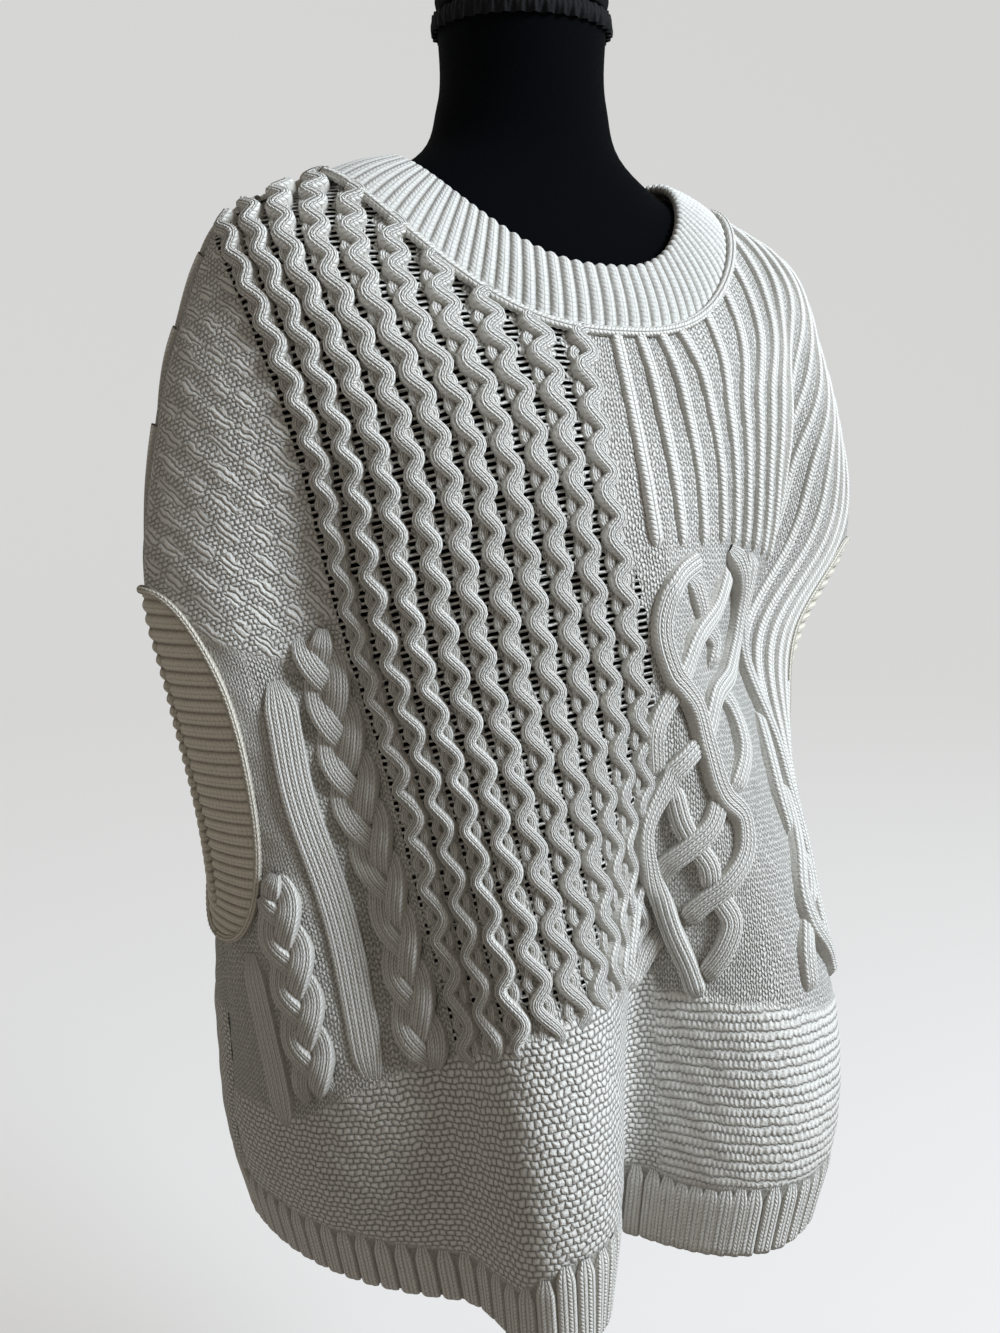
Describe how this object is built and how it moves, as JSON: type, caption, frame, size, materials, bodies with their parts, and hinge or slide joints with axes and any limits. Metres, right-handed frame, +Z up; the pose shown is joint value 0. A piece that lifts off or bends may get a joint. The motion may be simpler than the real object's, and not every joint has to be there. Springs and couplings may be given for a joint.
{
  "type": "knitted poncho sweater on a dress form",
  "caption": "Wide sleeveless knitted poncho sweater with cables, ribs and moss stitch, a round ribbed collar and ribbed armholes, worn by a limbless dress form on a round-based stand.",
  "frame": {"origin": "centre of the underside of the stand's round base", "axes": "+Z up along the pole to the neck, the wearer faces -Y, +X to the wearer's left"},
  "size_m": [0.586, 0.4036, 1.3],
  "materials": {
    "front_knit": "ivory chunky cotton-blend knit, matte, slightly fuzzy",
    "back_knit": "ivory chunky cotton-blend knit, matte, slightly fuzzy",
    "collar_rib": "ivory one-by-one rib, matte",
    "armband_right_rib": "cream rib, matte",
    "armband_left_rib": "cream rib, matte",
    "form_jersey": "black matte stretch jersey over a firm body",
    "cap_cloth": "black matte jersey",
    "trim_lace": "black gathered lace",
    "pole_steel": "black satin",
    "base_steel": "black satin"
  },
  "bodies": {
    "root": {"front": "front_knit", "back": "back_knit", "collar": "collar_rib", "armband_right": "armband_right_rib", "armband_left": "armband_left_rib", "dress_form": "form_jersey", "neck_cap": "cap_cloth", "neck_trim": "trim_lace", "stand_pole": "pole_steel", "stand_base": "base_steel"}
  },
  "joints": []
}
